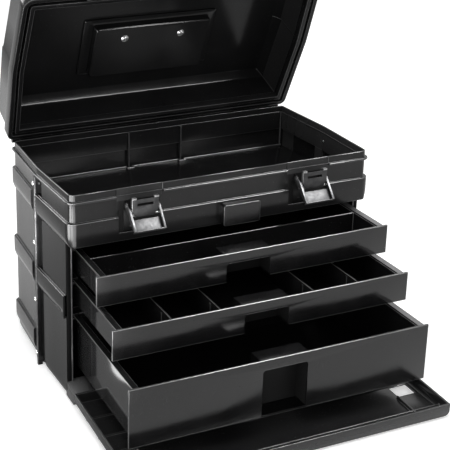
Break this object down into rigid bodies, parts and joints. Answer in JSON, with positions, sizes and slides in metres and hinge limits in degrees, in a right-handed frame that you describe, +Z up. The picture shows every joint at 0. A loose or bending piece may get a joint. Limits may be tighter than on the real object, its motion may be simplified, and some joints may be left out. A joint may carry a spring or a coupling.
{
  "type": "portable tool box with drawers",
  "caption": "Portable black plastic tool box with a hinged lid, draw latches, pull-out drawers behind a drop-down front cover and a top compartment.",
  "frame": {"origin": "centre of the case's bottom, on the surface it stands on", "axes": "+Z up, front and drawers towards -Y, +X to the right seen from the front"},
  "size_m": [0.5276, 0.5712, 0.611],
  "materials": {
    "case_plastic": "fine moulded texture, satin",
    "lid_plastic": "fine moulded texture, satin",
    "drawer_plastic": "smooth satin",
    "cover_plastic": "fine moulded texture, satin",
    "fittings_plastic": "satin",
    "handle_plastic": "satin",
    "strip_metal": "semi-gloss black",
    "latch_steel": "bright zinc plated",
    "pin_steel": "bright"
  },
  "bodies": {
    "case": {"front_shell": "case_plastic", "rear_shell": "case_plastic", "joint_strip_left": "strip_metal", "joint_strip_right": "strip_metal", "strip_rivets": "pin_steel", "runner_left": "fittings_plastic", "runner_right": "fittings_plastic", "runner_screws": "pin_steel", "compartment_floor": "fittings_plastic", "floor_screws": "pin_steel", "hinge_leaves_case": "latch_steel", "hinge_pins": "pin_steel", "cover_hinge_pins": "pin_steel", "catch_base": "latch_steel", "latch_base_left": "latch_steel", "latch_base_right": "latch_steel", "latch_rivets": "pin_steel"},
    "cover_catch": {"cover_catch": "fittings_plastic"},
    "lid": {"lid_shell": "lid_plastic", "hinge_leaves_lid": "latch_steel", "keeper_left": "latch_steel", "keeper_right": "latch_steel", "keeper_rivets": "pin_steel", "handle_brackets": "latch_steel", "handle_rivets": "pin_steel"},
    "handle": {"handle": "handle_plastic"},
    "lever_left": {"latch_lever_left": "latch_steel", "claw_pin_left": "pin_steel"},
    "claw_left": {"latch_claw_left": "latch_steel"},
    "lever_right": {"latch_lever_right": "latch_steel", "claw_pin_right": "pin_steel"},
    "claw_right": {"latch_claw_right": "latch_steel"},
    "drawer_1": {"drawer_1": "drawer_plastic"},
    "drawer_2": {"drawer_2": "drawer_plastic", "drawer_2_dividers": "drawer_plastic"},
    "drawer_3": {"drawer_3": "drawer_plastic"},
    "front_cover": {"front_cover": "cover_plastic"}
  },
  "joints": [
    {"name": "lid_hinge", "type": "hinge", "parent": "case", "child": "lid", "pos_m": [0, 0.143, 0.3327], "axis": [-1, 0, 0], "range_deg": [-67.4, 32]},
    {"name": "handle_hinge", "type": "hinge", "parent": "lid", "child": "handle", "pos_m": [0, 0.14805, 0.491], "axis": [1, 0, 0], "range_deg": [0, 90]},
    {"name": "drawer_1_slide", "type": "slide", "parent": "case", "child": "drawer_1", "axis": [0, -1, 0], "range_m": [-0.097, 0.115]},
    {"name": "drawer_2_slide", "type": "slide", "parent": "case", "child": "drawer_2", "axis": [0, -1, 0], "range_m": [-0.154, 0.058]},
    {"name": "drawer_3_slide", "type": "slide", "parent": "case", "child": "drawer_3", "axis": [0, -1, 0], "range_m": [-0.21, 0.002]},
    {"name": "cover_hinge", "type": "hinge", "parent": "case", "child": "front_cover", "pos_m": [0, -0.126, 0.018], "axis": [1, 0, 0], "range_deg": [-8, 0]},
    {"name": "cover_catch_slide", "type": "slide", "parent": "case", "child": "cover_catch", "axis": [0, 0, 1], "range_m": [0, 0.006], "stiffness_N_per_m": 120, "springref_m": -0.004},
    {"name": "lever_left_hinge", "type": "hinge", "parent": "case", "child": "lever_left", "pos_m": [-0.1415, -0.136, 0.3123], "axis": [-1, 0, 0], "range_deg": [-40, 40]},
    {"name": "claw_left_hinge", "type": "hinge", "parent": "lever_left", "child": "claw_left", "pos_m": [-0.1415, -0.14628, 0.30004], "axis": [-1, 0, 0], "range_deg": [-40, 40]},
    {"name": "lever_right_hinge", "type": "hinge", "parent": "case", "child": "lever_right", "pos_m": [0.1415, -0.136, 0.3123], "axis": [-1, 0, 0], "range_deg": [-40, 40]},
    {"name": "claw_right_hinge", "type": "hinge", "parent": "lever_right", "child": "claw_right", "pos_m": [0.1415, -0.14628, 0.30004], "axis": [-1, 0, 0], "range_deg": [-40, 40]}
  ],
  "couplings": [
    {"joint": "claw_left_hinge", "follows": "lever_left_hinge", "ratio": -1},
    {"joint": "claw_right_hinge", "follows": "lever_right_hinge", "ratio": -1}
  ]
}
